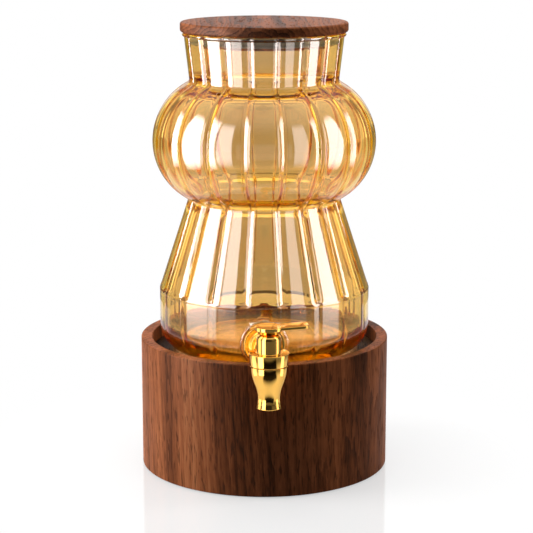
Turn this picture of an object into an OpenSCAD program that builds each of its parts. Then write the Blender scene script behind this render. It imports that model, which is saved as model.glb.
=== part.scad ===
// Fluted glass drink dispenser with a quarter-turn tap, standing in a turned wooden base.
// +Z is up, the tap faces -Y, and the origin is the centre of the face that rests on the table.

/* [Base] */
// Height of the base from the table to its rim
base_h = 101; // [85:1:120]
// Depth of the recess that the vessel stands in
recess_depth = 10; // [6:0.5:14]
// Wood left around the recess
rim_t = 8.5; // [6:0.5:12]
// Thickness of the shelf
shelf_t = 8; // [5:0.5:12]
// Width of the ledge that carries the shelf
ledge_w = 5; // [3:0.5:9]
// Thickness of the non-slip ring under the base
pad_t = 1; // [0.5:0.1:2]
// Width of the non-slip ring
pad_w = 8; // [4:0.5:10]
// Bevel on the edges of the base
base_bevel = 0.8; // [0.4:0.1:1.5]

/* [Glass] */
// Outer diameter of the smooth band at the bottom
band_d = 160.6; // [150:0.2:180]
// Height of the glass
glass_h = 243; // [232:1:260]
// Wall of the glass
glass_t = 3.5; // [3:0.1:5]
// Thickness of the glass bottom
floor_t = 7; // [5:0.5:9]
// Radius of the rounded bottom edge
foot_r = 18; // [12:0.5:22]
// Depth of the hollow under the bottom
punt_depth = 2; // [1:0.1:3]
// Width of the ring that the glass rests on
rest_w = 9; // [6:0.5:14]
// Height of the shoulder between the band and the cone
shoulder_h = 48.5; // [46:0.5:54]
// Lean of the cone from upright
cone_lean = 18; // [14:0.1:20]
// Diameter of the bulb at its widest
bulb_d = 169.4; // [160:0.2:180]
// Height of the bulb's widest line
bulb_h = 161.3; // [155:0.1:168]
// Radius of the bulb's curve, seen from the side
bulb_arc = 49.3; // [46:0.1:53]
// Reach of the blend at the waist
waist_blend = 13; // [6:0.5:18]
// Diameter of the neck at its root
neck_d = 113.4; // [108:0.2:120]
// Height of the neck's root
neck_h = 209; // [204:0.5:214]
// Flare of the neck from upright
neck_flare = 6.6; // [3:0.1:9]
// Reach of the blend at the neck's root
neck_blend = 10; // [5:0.5:14]
// Height of the rounded rim
rim_h = 3.4; // [2.4:0.1:5]
// How far the rim stands out from the neck
rim_proud = 1; // [0.4:0.1:1.6]

/* [Flutes] */
// Number of flutes around the glass
flute_count = 18; // [12:1:24]
// Depth of the groove between two flutes
flute_depth = 1.5; // [0.6:0.1:2]
// Share of a flute's width that one side of its groove takes
groove_share = 0.16; // [0.1:0.01:0.3]
// Height over which the grooves die out under the shoulder
flute_fade = 9; // [5:0.5:14]

/* [Tap mounting] */
// Height of the tap's axis above the shelf
tap_h = 22; // [20:0.5:30]
// Turn of the tap about the upright line through its hole
tap_yaw = 6.5; // [0:0.5:8]
// Diameter of the glass boss around the hole
boss_d = 35; // [33:0.5:40]
// How far the boss stands out from the band
boss_proud = 1.5; // [1:0.1:3]
// Glass left between the two washers
boss_t = 5; // [4:0.1:6]
// Outer diameter of the threaded shank
shank_d = 16; // [14:0.5:17]
// Bore of the shank
shank_bore = 10; // [7:0.5:10.5]
// Thread length left showing past the nut
shank_tail = 3; // [1:0.5:6]
// Thickness of the rubber ring behind the flange
washer_t = 1; // [0.8:0.1:2]
// Outer diameter of the flange
flange_d = 30.4; // [28:0.2:32]
// Thickness of the flange
flange_t = 1.5; // [1.2:0.1:2.5]
// Depth of the dish turned in the flange's face
flange_dish = 0.6; // [0.3:0.1:0.8]
// Outer diameter of the ring inside the glass
inner_washer_d = 27; // [25:0.5:28]
// Thickness of the ring inside the glass
inner_washer_t = 2; // [1.5:0.1:3]
// Thickness of the metal ring under the nut
nut_washer_t = 1; // [0.8:0.1:2]
// Size of the nut across its flats
nut_af = 22; // [21:0.5:23]
// Thickness of the nut
nut_t = 6; // [4:0.5:8]

/* [Tap] */
// Diameter of the hub against the flange
hub_d = 21.2; // [19:0.2:24]
// Thickness of the hub
hub_t = 3; // [2:0.2:5]
// Diameter of the collar at its top edge
collar_d = 29.3; // [28:0.1:32]
// Height of the collar
collar_h = 9.1; // [8:0.1:11]
// How much narrower the collar is at its lower edge
collar_taper = 1.4; // [0.6:0.1:2]
// How far the collar's top lies above the tap's axis
collar_rise = 2.3; // [1:0.1:3]
// Diameter of the barrel above the collar
barrel_d = 18; // [17:0.2:20]
// Height of the barrel above the collar
barrel_h = 14; // [13:0.1:17]
// Radius of the barrel's top edge
barrel_round = 1.6; // [0.8:0.1:2]
// Diameter of the spigot that the nozzle screws onto
spigot_d = 20; // [18:0.2:21]
// Height of the spigot
spigot_h = 8.2; // [6:0.1:9]
// Height of the nozzle
nozzle_h = 31.4; // [28:0.2:36]
// Diameter of the nozzle at its top
nozzle_top_d = 27.4; // [26.6:0.1:28]
// Diameter of the nozzle at its waist
nozzle_waist_d = 16.4; // [16:0.1:18]
// Height of the waist above the nozzle's mouth
nozzle_waist_h = 5.8; // [4:0.1:8]
// Diameter of the nozzle at its lip
nozzle_lip_d = 17.8; // [17:0.1:20]
// Bore of the nozzle
outlet_d = 13; // [11:0.1:13.4]
// Thickness of the seal inside the nozzle
seal_t = 0.7; // [0.5:0.1:1]

/* [Valve] */
// Bore for the valve plug
plug_d = 12; // [11.6:0.1:12.6]
// Length of the plug above the tap's axis
plug_rise = 10; // [9.4:0.1:10.4]
// Diameter of the stem
stem_d = 8; // [7:0.1:8.4]
// Size of the square on the stem
stem_square = 5.4; // [4.6:0.1:5.6]
// Bore of the port through the plug
port_d = 6.4; // [5:0.1:6.4]
// Thickness of the slip ring over the plug
thrust_t = 0.8; // [0.5:0.1:1]
// Section of the rings on the plug
ring_d = 1.8; // [1.5:0.1:1.9]
// Distance of each plug ring from the tap's axis
ring_reach = 7.4; // [7:0.1:7.8]

/* [Lever] */
// Diameter of the lever's head
head_d = 19.3; // [18.4:0.1:21]
// Thickness of the lever's head
head_t = 2.9; // [2.5:0.1:4]
// Height of the tapered hub under the head
head_hub_h = 2.2; // [2:0.1:3]
// Reach of the paddle from the barrel's axis
lever_reach = 28.5; // [22:0.5:40]
// Width of the paddle
paddle_w = 12; // [8:0.5:14]
// Thickness of the paddle
paddle_t = 2.6; // [2:0.1:2.8]
// Radius of the paddle's corners
paddle_round = 4; // [2:0.5:5]
// Upward tilt of the paddle
lever_tilt = 3; // [0:0.5:4]
// Quarter turn between closed and open
lever_turn = 90; // [60:1:100]
// Diameter of the lever's set screw
screw_d = 2; // [1.6:0.1:2.2]
// Diameter of the stop pin
pin_d = 1.6; // [1.2:0.1:1.8]
// Distance of the stop pin from the barrel's axis
pin_reach = 5.9; // [5.7:0.1:6.2]
// How far the stop pin stands out of the barrel
pin_proud = 1.3; // [1:0.1:1.5]

/* [Lid] */
// Diameter of the lid
lid_d = 126.2; // [122:0.2:136]
// Thickness of the lid
lid_t = 7.5; // [6:0.5:14]
// Radius of the lid's edges
lid_round = 1.8; // [1:0.1:2.6]
// Depth of the plug under the lid
lid_plug_h = 10; // [9:0.5:14]
// Gap between the plug and the glass, which the gasket fills
lid_plug_gap = 3; // [2:0.1:5]
// Depth of the gasket's groove
gasket_groove = 2; // [1.5:0.1:3]
// Height of the gasket
gasket_h = 6; // [5:0.2:7]
// Thickness of the gasket's lips
lip_t = 1; // [0.8:0.1:1.4]

/* [Clearances] */
// Clearance of the flange inside the base's recess
tap_clear = 2.2; // [2:0.1:5]
// Clearance of the collar in front of the base
collar_clear = 2; // [1:0.1:5]
// Radial play of turning pieces
run_fit = 0.05; // [0.03:0.01:0.1]
// Play of pieces that are pushed or screwed together
slip_fit = 0.1; // [0.05:0.01:0.15]
// Play of the shank in the glass
hole_fit = 0.5; // [0.2:0.1:1]
// Gap under the turning lever and at the lid's gasket
free_gap = 0.3; // [0.2:0.05:0.5]

/* [Hidden] */
$fn = 96;

walnut = [0.30, 0.17, 0.10];
amber = [0.90, 0.68, 0.40, 0.5];
gold = [0.90, 0.68, 0.25];
rubber = [0.07, 0.07, 0.07];
silicone = [0.88, 0.86, 0.80];
steel = [0.72, 0.72, 0.74];

// Heights and radii of the base and of the glass in it
band_r = band_d / 2;
shelf_z = base_h - recess_depth;
glass_top = shelf_z + glass_h;
face_r = band_r + boss_proud;
recess_r = face_r + washer_t + flange_t + tap_clear;
base_r = recess_r + rim_t;
pad_mid_r = base_r - (rim_t + ledge_w) / 2;

// Places along the tap's axis, outwards from the boss's face
tap_z = shelf_z + tap_h;
flange_u = washer_t;
hub_u = flange_u + flange_t;
tap_reach = (base_r + collar_d / 2 + collar_clear - face_r) / cos(tap_yaw);
seat_u = -boss_t;
nut_washer_u = seat_u - inner_washer_t;
nut_u = nut_washer_u - nut_washer_t;
shank_end_u = nut_u - nut_t - shank_tail;

// Heights of the tap above and below its axis
collar_low = collar_rise - collar_h;
barrel_top = collar_rise + barrel_h;
spigot_low = collar_low - spigot_h;
nozzle_top = collar_low - free_gap;
nozzle_low = nozzle_top - nozzle_h;
nozzle_floor = spigot_low - seal_t - slip_fit;
plug_low = nozzle_floor + run_fit;
bore_top = plug_rise + thrust_t + 2 * run_fit;
hub_low = barrel_top + free_gap;
head_low = hub_low + head_hub_h;
head_top = head_low + head_t;
screw_z = head_low + head_t / 3;
stem_top = head_top - head_t / 2;
pin_low = barrel_top - 2 * pin_proud;
pin_h = 3 * pin_proud;

overlap = 1;
arc_steps = 6;
slope_step = 0.1;

// Outline of the glass, as a radius for each height above the shelf
function blend_max(a, b, k) = max(a, b) + pow(max(k - abs(a - b), 0), 2) / (4 * k);
function bulb_at(h) = bulb_d / 2 - bulb_arc + sqrt(max(pow(bulb_arc, 2) - pow(h - bulb_h, 2), 0));
function cone_at(h) = band_r - (h - shoulder_h) * tan(cone_lean);
function neck_at(h) = neck_d / 2 + (h - neck_h) * tan(neck_flare);
function side_at(h) = h < bulb_h
    ? blend_max(min(band_r, cone_at(h)), bulb_at(h), waist_blend)
    : blend_max(neck_at(h), bulb_at(h), neck_blend);
function slope_at(h) = (side_at(h + slope_step) - side_at(h - slope_step)) / (2 * slope_step);
// A point on the inner wall, one wall thickness in from the outline along its normal
function inside_at(h) = let (m = slope_at(h), n = sqrt(1 + m * m))
    [side_at(h) - glass_t / n, h + glass_t * m / n];
function mouth_at(h) = neck_at(h) - glass_t / cos(neck_flare);

// Heights of the rings that the outline is drawn through
waist_h = bulb_h - bulb_arc;
crown_h = bulb_h + bulb_arc;
bulb_steps = 24;
neck_steps = 3;
cone_low = shoulder_h + flute_fade;
side_heights = concat(
    [shoulder_h - flute_fade, shoulder_h - flute_fade / 2, shoulder_h, cone_low],
    [for (i = [0 : bulb_steps]) waist_h - overlap + (crown_h - waist_h + 2 * overlap) * i / bulb_steps],
    [for (i = [1 : neck_steps])
        crown_h + overlap + (glass_h - rim_h - crown_h - overlap) * i / neck_steps]);

foot_line = [for (i = [0 : arc_steps]) let (a = 90 * i / arc_steps)
    [band_r - foot_r + foot_r * sin(a), foot_r * (1 - cos(a))]];
// The rim swells out over its middle and is rounded at its top
rim_r = neck_at(glass_h);
rim_swell = 0.4 * rim_h;
rim_line = [[rim_r + rim_proud, glass_h - rim_h / 2 - rim_swell / 2],
    [rim_r + rim_proud, glass_h - rim_h / 2 + rim_swell / 2], [rim_r + rim_proud / 2, glass_h]];
outline = concat(foot_line, [for (h = side_heights) [side_at(h), h]], rim_line);

// Share of the full groove depth at a height: none on the band, less at the rim
rim_groove = 0.6;
function fade_at(h) = min(1, max(0, (h - shoulder_h + flute_fade) / (2 * flute_fade)))
    * (h > glass_h - rim_h ? rim_groove : 1);
// Each flute has a groove point, its two edges and a crest
flute_angle = 360 / flute_count;
edge_depth = 0.15;
flute_points = [[0, 1], [groove_share, edge_depth], [0.5, 0], [1 - groove_share, edge_depth]];
columns = [for (f = [0 : flute_count - 1]) for (p = flute_points)
    [flute_angle * (f + p[0] - 0.5) - 90, p[1]]];

// The whole outer skin, closed at the bottom and at the top
module fluted_skin() {
    n = len(columns);
    last = len(outline) - 1;
    skin = [for (p = outline) for (c = columns)
        let (r = p[0] - flute_depth * fade_at(p[1]) * c[1]) [r * cos(c[0]), r * sin(c[0]), p[1]]];
    low_pole = len(skin);
    high_pole = low_pole + 1;
    walls = [for (i = [0 : last - 1]) for (j = [0 : n - 1]) let (k = (j + 1) % n)
        each [[i * n + j, (i + 1) * n + j, (i + 1) * n + k], [i * n + j, (i + 1) * n + k, i * n + k]]];
    floor_fan = [for (j = [0 : n - 1]) [low_pole, j, (j + 1) % n]];
    top_fan = [for (j = [0 : n - 1]) [high_pole, last * n + (j + 1) % n, last * n + j]];
    polyhedron(points = concat(skin, [[0, 0, 0], [0, 0, glass_h]]),
        faces = concat(walls, floor_fan, top_fan));
}

// The space for the drink
module cavity() {
    inner_foot = foot_r - glass_t;
    corner = [for (i = [0 : arc_steps]) let (a = 90 * i / arc_steps)
        [band_r - foot_r + inner_foot * sin(a), floor_t + inner_foot * (1 - cos(a))]];
    wall = [for (h = side_heights) inside_at(h)];
    rotate_extrude() polygon(concat([[0, floor_t]], corner, wall,
        [[mouth_at(glass_h), glass_h], [mouth_at(glass_h), glass_h + overlap], [0, glass_h + overlap]]));
}

// Puts pieces in the tap's own frame: origin on the boss's face, -Y outwards along the tap's axis
module at_tap() {
    translate([0, -face_r, tap_z]) rotate([0, 0, tap_yaw]) children();
}

module at_barrel() {
    at_tap() translate([0, -tap_reach, 0]) children();
}

// A round bar along the tap's axis between two places on it
module along_tap(from_u, to_u, d) {
    translate([0, -from_u, 0]) rotate([90, 0, 0]) cylinder(h = to_u - from_u, d = d);
}

module tap_ring(from_u, to_u, outer_d, inner_d) {
    difference() {
        along_tap(from_u, to_u, outer_d);
        along_tap(from_u - overlap, to_u + overlap, inner_d);
    }
}

module flat_ring(low, high, outer_d, inner_d) {
    translate([0, 0, low]) difference() {
        cylinder(h = high - low, d = outer_d);
        translate([0, 0, -overlap]) cylinder(h = high - low + 2 * overlap, d = inner_d);
    }
}

module base_ring() {
    low_r = recess_r - ledge_w;
    shelf_low = shelf_z - shelf_t;
    b = base_bevel;
    color(walnut) rotate_extrude() polygon([[low_r, pad_t], [base_r - b, pad_t], [base_r, pad_t + b],
        [base_r, base_h - b], [base_r - b, base_h], [recess_r + b, base_h], [recess_r, base_h - b],
        [recess_r, shelf_low], [low_r, shelf_low]]);
}

module base_shelf() {
    color(walnut) translate([0, 0, shelf_z - shelf_t]) cylinder(h = shelf_t, r = recess_r - slip_fit);
}

module base_pad() {
    color(rubber) flat_ring(0, pad_t, 2 * pad_mid_r + pad_w, 2 * pad_mid_r - pad_w);
}

module glass_vessel() {
    rest_r = band_r - foot_r;
    color(amber) difference() {
        union() {
            translate([0, 0, shelf_z]) fluted_skin();
            at_tap() along_tap(seat_u + nut_u, 0, boss_d);
        }
        translate([0, 0, shelf_z]) cavity();
        translate([0, 0, shelf_z]) rotate_extrude() polygon([[0, -overlap], [rest_r - rest_w, -overlap],
            [rest_r - rest_w, 0], [rest_r - rest_w - punt_depth, punt_depth], [0, punt_depth]]);
        at_tap() along_tap(-boss_d, seat_u, inner_washer_d + 2 * hole_fit);
        at_tap() along_tap(seat_u - overlap, overlap, shank_d + 2 * hole_fit);
    }
}

module flange_washer() {
    color(rubber) at_tap() tap_ring(0, washer_t, flange_d - 2 * flange_dish, shank_d + 2 * slip_fit);
}

module tap_flange() {
    lip = (flange_d - hub_d) / 4;
    face = flange_u + flange_t;
    low = face - flange_dish;
    r = flange_d / 2;
    color(gold) at_tap() rotate([90, 0, 0]) rotate_extrude() polygon([[shank_d / 2 + slip_fit, flange_u],
        [r - flange_dish, flange_u], [r, flange_u + flange_dish], [r, low], [r - flange_dish, face],
        [r - lip, face], [r - lip - flange_dish, low], [hub_d / 2 + flange_dish, low], [hub_d / 2, face],
        [shank_d / 2 + slip_fit, face]]);
}

module inner_washer() {
    color(silicone) at_tap() tap_ring(nut_washer_u, seat_u, inner_washer_d, shank_d + 2 * slip_fit);
}

module nut_washer() {
    color(steel) at_tap()
        tap_ring(nut_u, nut_washer_u, inner_washer_d - 2 * hole_fit, shank_d + 2 * slip_fit);
}

module shank_nut() {
    color(steel) at_tap() difference() {
        translate([0, -nut_u + nut_t, 0]) rotate([90, 0, 0])
            cylinder(h = nut_t, d = nut_af / cos(30), $fn = 6);
        along_tap(nut_u - nut_t - overlap, nut_u + overlap, shank_d + 2 * slip_fit);
    }
}

// Collar and barrel as one turned outline, with a rounded top and a fine bevel on the collar
module barrel_blank() {
    r = barrel_d / 2;
    spigot_r = spigot_d / 2;
    high_r = collar_d / 2;
    low_r = (collar_d - collar_taper) / 2;
    bevel = 0.5;
    top_arc = [for (i = [0 : arc_steps]) let (a = 90 * i / arc_steps)
        [r - barrel_round * (1 - cos(a)), barrel_top - barrel_round * (1 - sin(a))]];
    rotate_extrude() polygon(concat([[0, spigot_low], [spigot_r, spigot_low], [spigot_r, collar_low],
        [low_r - bevel, collar_low], [low_r, collar_low + bevel], [high_r, collar_rise - bevel],
        [high_r - bevel, collar_rise], [r, collar_rise]], top_arc, [[0, barrel_top]]));
}

module tap_body() {
    color(gold) difference() {
        union() {
            at_barrel() barrel_blank();
            at_tap() along_tap(hub_u, hub_u + hub_t, hub_d);
            at_tap() along_tap(hub_u, tap_reach, barrel_d - 2 * barrel_round);
            at_tap() along_tap(shank_end_u, hub_u + overlap, shank_d);
        }
        at_tap() along_tap(shank_end_u - overlap, tap_reach, shank_bore);
        at_barrel() translate([0, 0, spigot_low - overlap])
            cylinder(h = bore_top - spigot_low + overlap, d = plug_d);
        at_barrel() cylinder(h = barrel_top + overlap, d = stem_d + 2 * run_fit);
        at_barrel() translate([-pin_reach, 0, pin_low]) cylinder(h = pin_h, d = pin_d);
    }
}

module stop_pin() {
    color(steel) at_barrel() translate([-pin_reach, 0, pin_low]) cylinder(h = pin_h, d = pin_d);
}

// Radius of the urn-shaped nozzle: a swelling shoulder, a waist, then a flared lip
nozzle_swell = 1.25;
function nozzle_at(z) = let (waist_z = nozzle_low + nozzle_waist_h, w = nozzle_waist_d / 2,
    t = (nozzle_top - z) / (nozzle_top - waist_z), s = (waist_z - z) / nozzle_waist_h)
    z > waist_z ? w + (nozzle_top_d / 2 - w) * (1 + cos(180 * pow(t, nozzle_swell))) / 2
    : w + (nozzle_lip_d - nozzle_waist_d) / 2 * s * s;

module tap_nozzle() {
    steps = 18;
    socket_r = spigot_d / 2 + slip_fit;
    lip = 0.5;
    throat_low = nozzle_floor - (outlet_d - plug_d) - 2 * seal_t;
    side = [for (i = [0 : steps]) let (z = nozzle_top - (nozzle_h - lip) * i / steps) [nozzle_at(z), z]];
    color(gold) at_barrel() rotate_extrude() polygon(concat([[socket_r, nozzle_top]], side,
        [[nozzle_lip_d / 2 - lip, nozzle_low], [outlet_d / 2, nozzle_low], [outlet_d / 2, throat_low],
        [plug_d / 2 - seal_t, nozzle_floor], [socket_r, nozzle_floor]]));
}

module nozzle_seal() {
    color(rubber) at_barrel()
        flat_ring(nozzle_floor, nozzle_floor + seal_t, spigot_d, plug_d + 2 * free_gap);
}

module thrust_washer() {
    color(silicone) at_barrel() flat_ring(plug_rise + run_fit, plug_rise + run_fit + thrust_t,
        plug_d - 2 * slip_fit, stem_d + 2 * slip_fit);
}

// The ring's groove in the plug, and the ring in it, share these radii
ring_mid_r = plug_d / 2 - run_fit - ring_d / 2;
groove_r = ring_mid_r - ring_d / 2 - run_fit;

module valve_plug() {
    color(steel) at_barrel() difference() {
        union() {
            translate([0, 0, plug_low]) cylinder(h = plug_rise - plug_low, d = plug_d - 2 * run_fit);
            cylinder(h = hub_low, d = stem_d);
            translate([-stem_square / 2, -stem_square / 2, 0]) cube([stem_square, stem_square, stem_top]);
        }
        for (z = [-ring_reach, ring_reach])
            flat_ring(z - ring_d / 2 - run_fit, z + ring_d / 2 + run_fit, plug_d + overlap, 2 * groove_r);
        translate([0, 0, plug_low - overlap]) cylinder(h = overlap - plug_low, d = port_d);
        rotate([0, -90, 0]) cylinder(h = plug_d, d = port_d);
    }
}

module plug_o_rings() {
    color(rubber) at_barrel() for (z = [-ring_reach, ring_reach])
        translate([0, 0, z]) rotate_extrude() translate([ring_mid_r, 0]) circle(d = ring_d);
}

// Paddle outline in plan: a bar from the head's centre with rounded outer corners
module paddle_plan() {
    corner = [lever_reach - paddle_round, paddle_w / 2 - paddle_round];
    translate([0, -paddle_w / 2]) square([corner[0], paddle_w]);
    translate([0, -corner[1]]) square([lever_reach, 2 * corner[1]]);
    for (side = [-1, 1]) translate([corner[0], side * corner[1]]) circle(r = paddle_round);
}

module tap_lever() {
    edge = 0.6;
    r = head_d / 2;
    hub_r = barrel_d / 2 - barrel_round / 2;
    square_w = stem_square + 2 * run_fit;
    margin = asin((pin_d / 2 + free_gap) / pin_reach);
    color(gold) at_barrel() difference() {
        union() {
            rotate_extrude() polygon([[0, hub_low], [hub_r, hub_low], [r - edge, head_low],
                [r, head_low + edge], [r, head_top - edge], [r - edge, head_top], [0, head_top]]);
            translate([0, 0, head_top - paddle_t - r * tan(lever_tilt)]) rotate([0, -lever_tilt, 0])
                linear_extrude(paddle_t) difference() {
                    paddle_plan();
                    circle(d = 2 * stem_square);
                }
        }
        translate([-square_w / 2, -square_w / 2, hub_low - overlap])
            cube([square_w, square_w, stem_top - hub_low + overlap + slip_fit]);
        translate([0, 0, screw_z]) rotate([-90, 0, 0]) cylinder(h = head_d, d = screw_d + 2 * slip_fit);
        rotate_extrude(start = 180 - margin, angle = lever_turn + 2 * margin)
            translate([pin_reach - pin_d / 2 - free_gap, hub_low - overlap])
                square([pin_d + 2 * free_gap, overlap + pin_proud]);
    }
}

module lever_screw() {
    start = stem_square / 2 + slip_fit;
    color(steel) at_barrel() translate([0, start, screw_z]) rotate([-90, 0, 0])
        cylinder(h = head_d / 2 - start - 2 * free_gap, d = screw_d);
}

module lid_disc() {
    r = lid_d / 2;
    low_arc = [for (i = [0 : arc_steps]) let (a = 90 * i / arc_steps)
        [r - lid_round * (1 - sin(a)), glass_top + lid_round * (1 - cos(a))]];
    high_arc = [for (i = [0 : arc_steps]) let (a = 90 * i / arc_steps)
        [r - lid_round * (1 - cos(a)), glass_top + lid_t - lid_round * (1 - sin(a))]];
    color(walnut) rotate_extrude()
        polygon(concat([[0, glass_top]], low_arc, high_arc, [[0, glass_top + lid_t]]));
}

// The gasket sits half way down the plug
lid_plug_r = mouth_at(glass_h - lid_plug_h) - lid_plug_gap;
gasket_low = glass_top - lid_plug_h / 2 - gasket_h / 2;
gasket_high = gasket_low + gasket_h;

module lid_plug() {
    low = glass_top - lid_plug_h;
    groove = lid_plug_r - gasket_groove;
    b = base_bevel;
    color(walnut) rotate_extrude() polygon([[0, low], [lid_plug_r - b, low], [lid_plug_r, low + b],
        [lid_plug_r, gasket_low], [groove, gasket_low], [groove, gasket_high], [lid_plug_r, gasket_high],
        [lid_plug_r, glass_top], [0, glass_top]]);
}

module lid_gasket() {
    root_r = lid_plug_r - gasket_groove + slip_fit;
    band = lid_plug_r + lip_t / 2;
    low_lip_r = mouth_at(gasket_low - shelf_z) - free_gap;
    high_lip_r = mouth_at(gasket_high - lip_t - shelf_z) - free_gap;
    low = gasket_low + slip_fit;
    high = gasket_high - slip_fit;
    color(silicone) rotate_extrude() polygon([[root_r, low], [low_lip_r, low], [low_lip_r, low + lip_t],
        [band, low + 2 * lip_t], [band, high - 2 * lip_t], [high_lip_r, high - lip_t], [high_lip_r, high],
        [root_r, high]]);
}

base_ring();
base_shelf();
base_pad();
glass_vessel();
flange_washer();
tap_flange();
tap_body();
tap_nozzle();
nozzle_seal();
thrust_washer();
stop_pin();
inner_washer();
nut_washer();
shank_nut();
tap_lever();
valve_plug();
plug_o_rings();
lever_screw();
lid_disc();
lid_plug();
lid_gasket();
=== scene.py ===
# %% [markdown]
# # A fluted glass drink dispenser on a walnut base
#
# The object is a tall amber vessel with a bulb, a cone and a smooth band at its foot. It stands in
# the recess of a turned walnut drum, carries a gold quarter-turn tap on a glass boss, and is closed
# by a walnut lid with a silicone gasket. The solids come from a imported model, so every piece made
# here goes where the matching solid already is, in metres, with +Z up and the tap facing -Y.

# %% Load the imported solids
import math

import bmesh
import bpy
from mathutils import Matrix, Vector


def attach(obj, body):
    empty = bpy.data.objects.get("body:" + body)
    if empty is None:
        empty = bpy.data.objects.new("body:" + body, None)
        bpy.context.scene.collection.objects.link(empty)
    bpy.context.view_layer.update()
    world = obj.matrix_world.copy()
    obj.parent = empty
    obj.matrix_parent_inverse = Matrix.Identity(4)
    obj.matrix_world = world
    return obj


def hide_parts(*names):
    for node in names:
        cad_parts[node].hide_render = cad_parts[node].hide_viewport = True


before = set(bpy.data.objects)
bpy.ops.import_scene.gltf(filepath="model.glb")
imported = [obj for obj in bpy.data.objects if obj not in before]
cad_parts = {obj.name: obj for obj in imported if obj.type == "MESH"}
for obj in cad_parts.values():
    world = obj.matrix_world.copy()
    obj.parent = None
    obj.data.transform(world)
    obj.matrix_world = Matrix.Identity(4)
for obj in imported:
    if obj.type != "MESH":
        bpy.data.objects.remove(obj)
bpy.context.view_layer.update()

# %% [markdown]
# ## Writing node maths as plain expressions
#
# Both finishes and shapes below need arithmetic inside node trees. Placing every Math node by hand
# hides the formula, so one small class wraps a socket and turns `a * b + 1` into Math nodes. The same
# Math node works in shader trees and in geometry trees, so one class serves both.

# %% A socket that can be used in sums
class Wire:
    """One output socket of a node tree, or a way to make nodes in that tree."""

    def __init__(self, tree, socket=None):
        self.tree = tree
        self.socket = socket

    def feed(self, target, value):
        """Link a wire to an input socket, or set a plain value on it."""
        if isinstance(value, Wire):
            self.tree.links.new(value.socket, target)
        else:
            target.default_value = value

    def node(self, kind, settings=None, sockets=None, output=0):
        """Add a node: its settings first, then the values or links of its sockets."""
        node = self.tree.nodes.new(kind)
        for key, value in (settings or {}).items():
            if key == "stops":
                ramp = node.color_ramp
                while len(ramp.elements) < len(value):
                    ramp.elements.new(1.0)
                for stop, (place, colour) in zip(ramp.elements, value):
                    stop.position = place
                    stop.color = (*colour, 1.0)
            else:
                setattr(node, key, value)
        for key, value in (sockets or {}).items():
            self.feed(node.inputs[key], value)
        return Wire(self.tree, node.outputs[output] if node.outputs else None)

    def out(self, name):
        """Another output of the node that this wire comes from."""
        return Wire(self.tree, self.socket.node.outputs[name])

    def maths(self, operation, *items):
        return self.node("ShaderNodeMath", {"operation": operation}, dict(enumerate(items)))

    def __add__(self, other):
        return self.maths("ADD", self, other)

    def __radd__(self, other):
        return self.maths("ADD", other, self)

    def __sub__(self, other):
        return self.maths("SUBTRACT", self, other)

    def __rsub__(self, other):
        return self.maths("SUBTRACT", other, self)

    def __mul__(self, other):
        return self.maths("MULTIPLY", self, other)

    def __rmul__(self, other):
        return self.maths("MULTIPLY", other, self)

    def __truediv__(self, other):
        return self.maths("DIVIDE", self, other)

    def __rtruediv__(self, other):
        return self.maths("DIVIDE", other, self)

    def __pow__(self, other):
        return self.maths("POWER", self, other)

    def fade(self, low, high):
        """0 below low, 1 above high, and a smooth step between them."""
        return self.node("ShaderNodeMapRange", {"interpolation_type": "SMOOTHSTEP"},
                         {"Value": self, "From Min": low, "From Max": high})

    def mix(self, first, second):
        """A colour between two others, with this wire as the factor."""
        return self.node("ShaderNodeMix", {"data_type": "RGBA"}, {0: self, 6: first, 7: second}, 2)


print("Wire ready")

# %% [markdown]
# ## The camera
#
# The photograph was taken from a little above the tap with a long lens. The ellipses of the base and
# the lid give the pitch of the camera, and how they grow from lid to base gives its distance. The
# camera comes first, because it decides how fine the pieces have to be.

# %% Camera
IMAGE_WIDTH = 533
FOCAL_PIXELS = 1788.4
CAMERA_PLACE = (0.0017, -1.3452, 0.4412)
CAMERA_PITCH = 12.05

camera_data = bpy.data.cameras.new("camera")
camera_data.sensor_width = 36.0
camera_data.lens = FOCAL_PIXELS / IMAGE_WIDTH * camera_data.sensor_width
camera = bpy.data.objects.new("camera", camera_data)
camera.location = CAMERA_PLACE
camera.rotation_euler = (math.radians(90 - CAMERA_PITCH), 0, 0)
bpy.context.scene.collection.objects.link(camera)
bpy.context.scene.camera = camera
print("lens", round(camera_data.lens, 1), "mm")

# %% [markdown]
# ## A tree that turns an outline on a lathe
#
# Nearly every piece here is turned or blown round an axis: the drum, the lid, the nozzle and the
# vessel. A Spin in edit mode would do it, but Geometry Nodes state the rule once: take a grid, read
# the radius and the height of each row from the points of an outline, and wrap the columns round the
# axis. The vessel's flutes are part of the same rule: a groove shape that repeats with the angle and
# is weighted by a value kept on each point of the outline.

# %% The lathe tree
MM = 0.001
GROOVE_SHARP = 0.75
GROOVE_SHARE = 0.075


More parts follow.
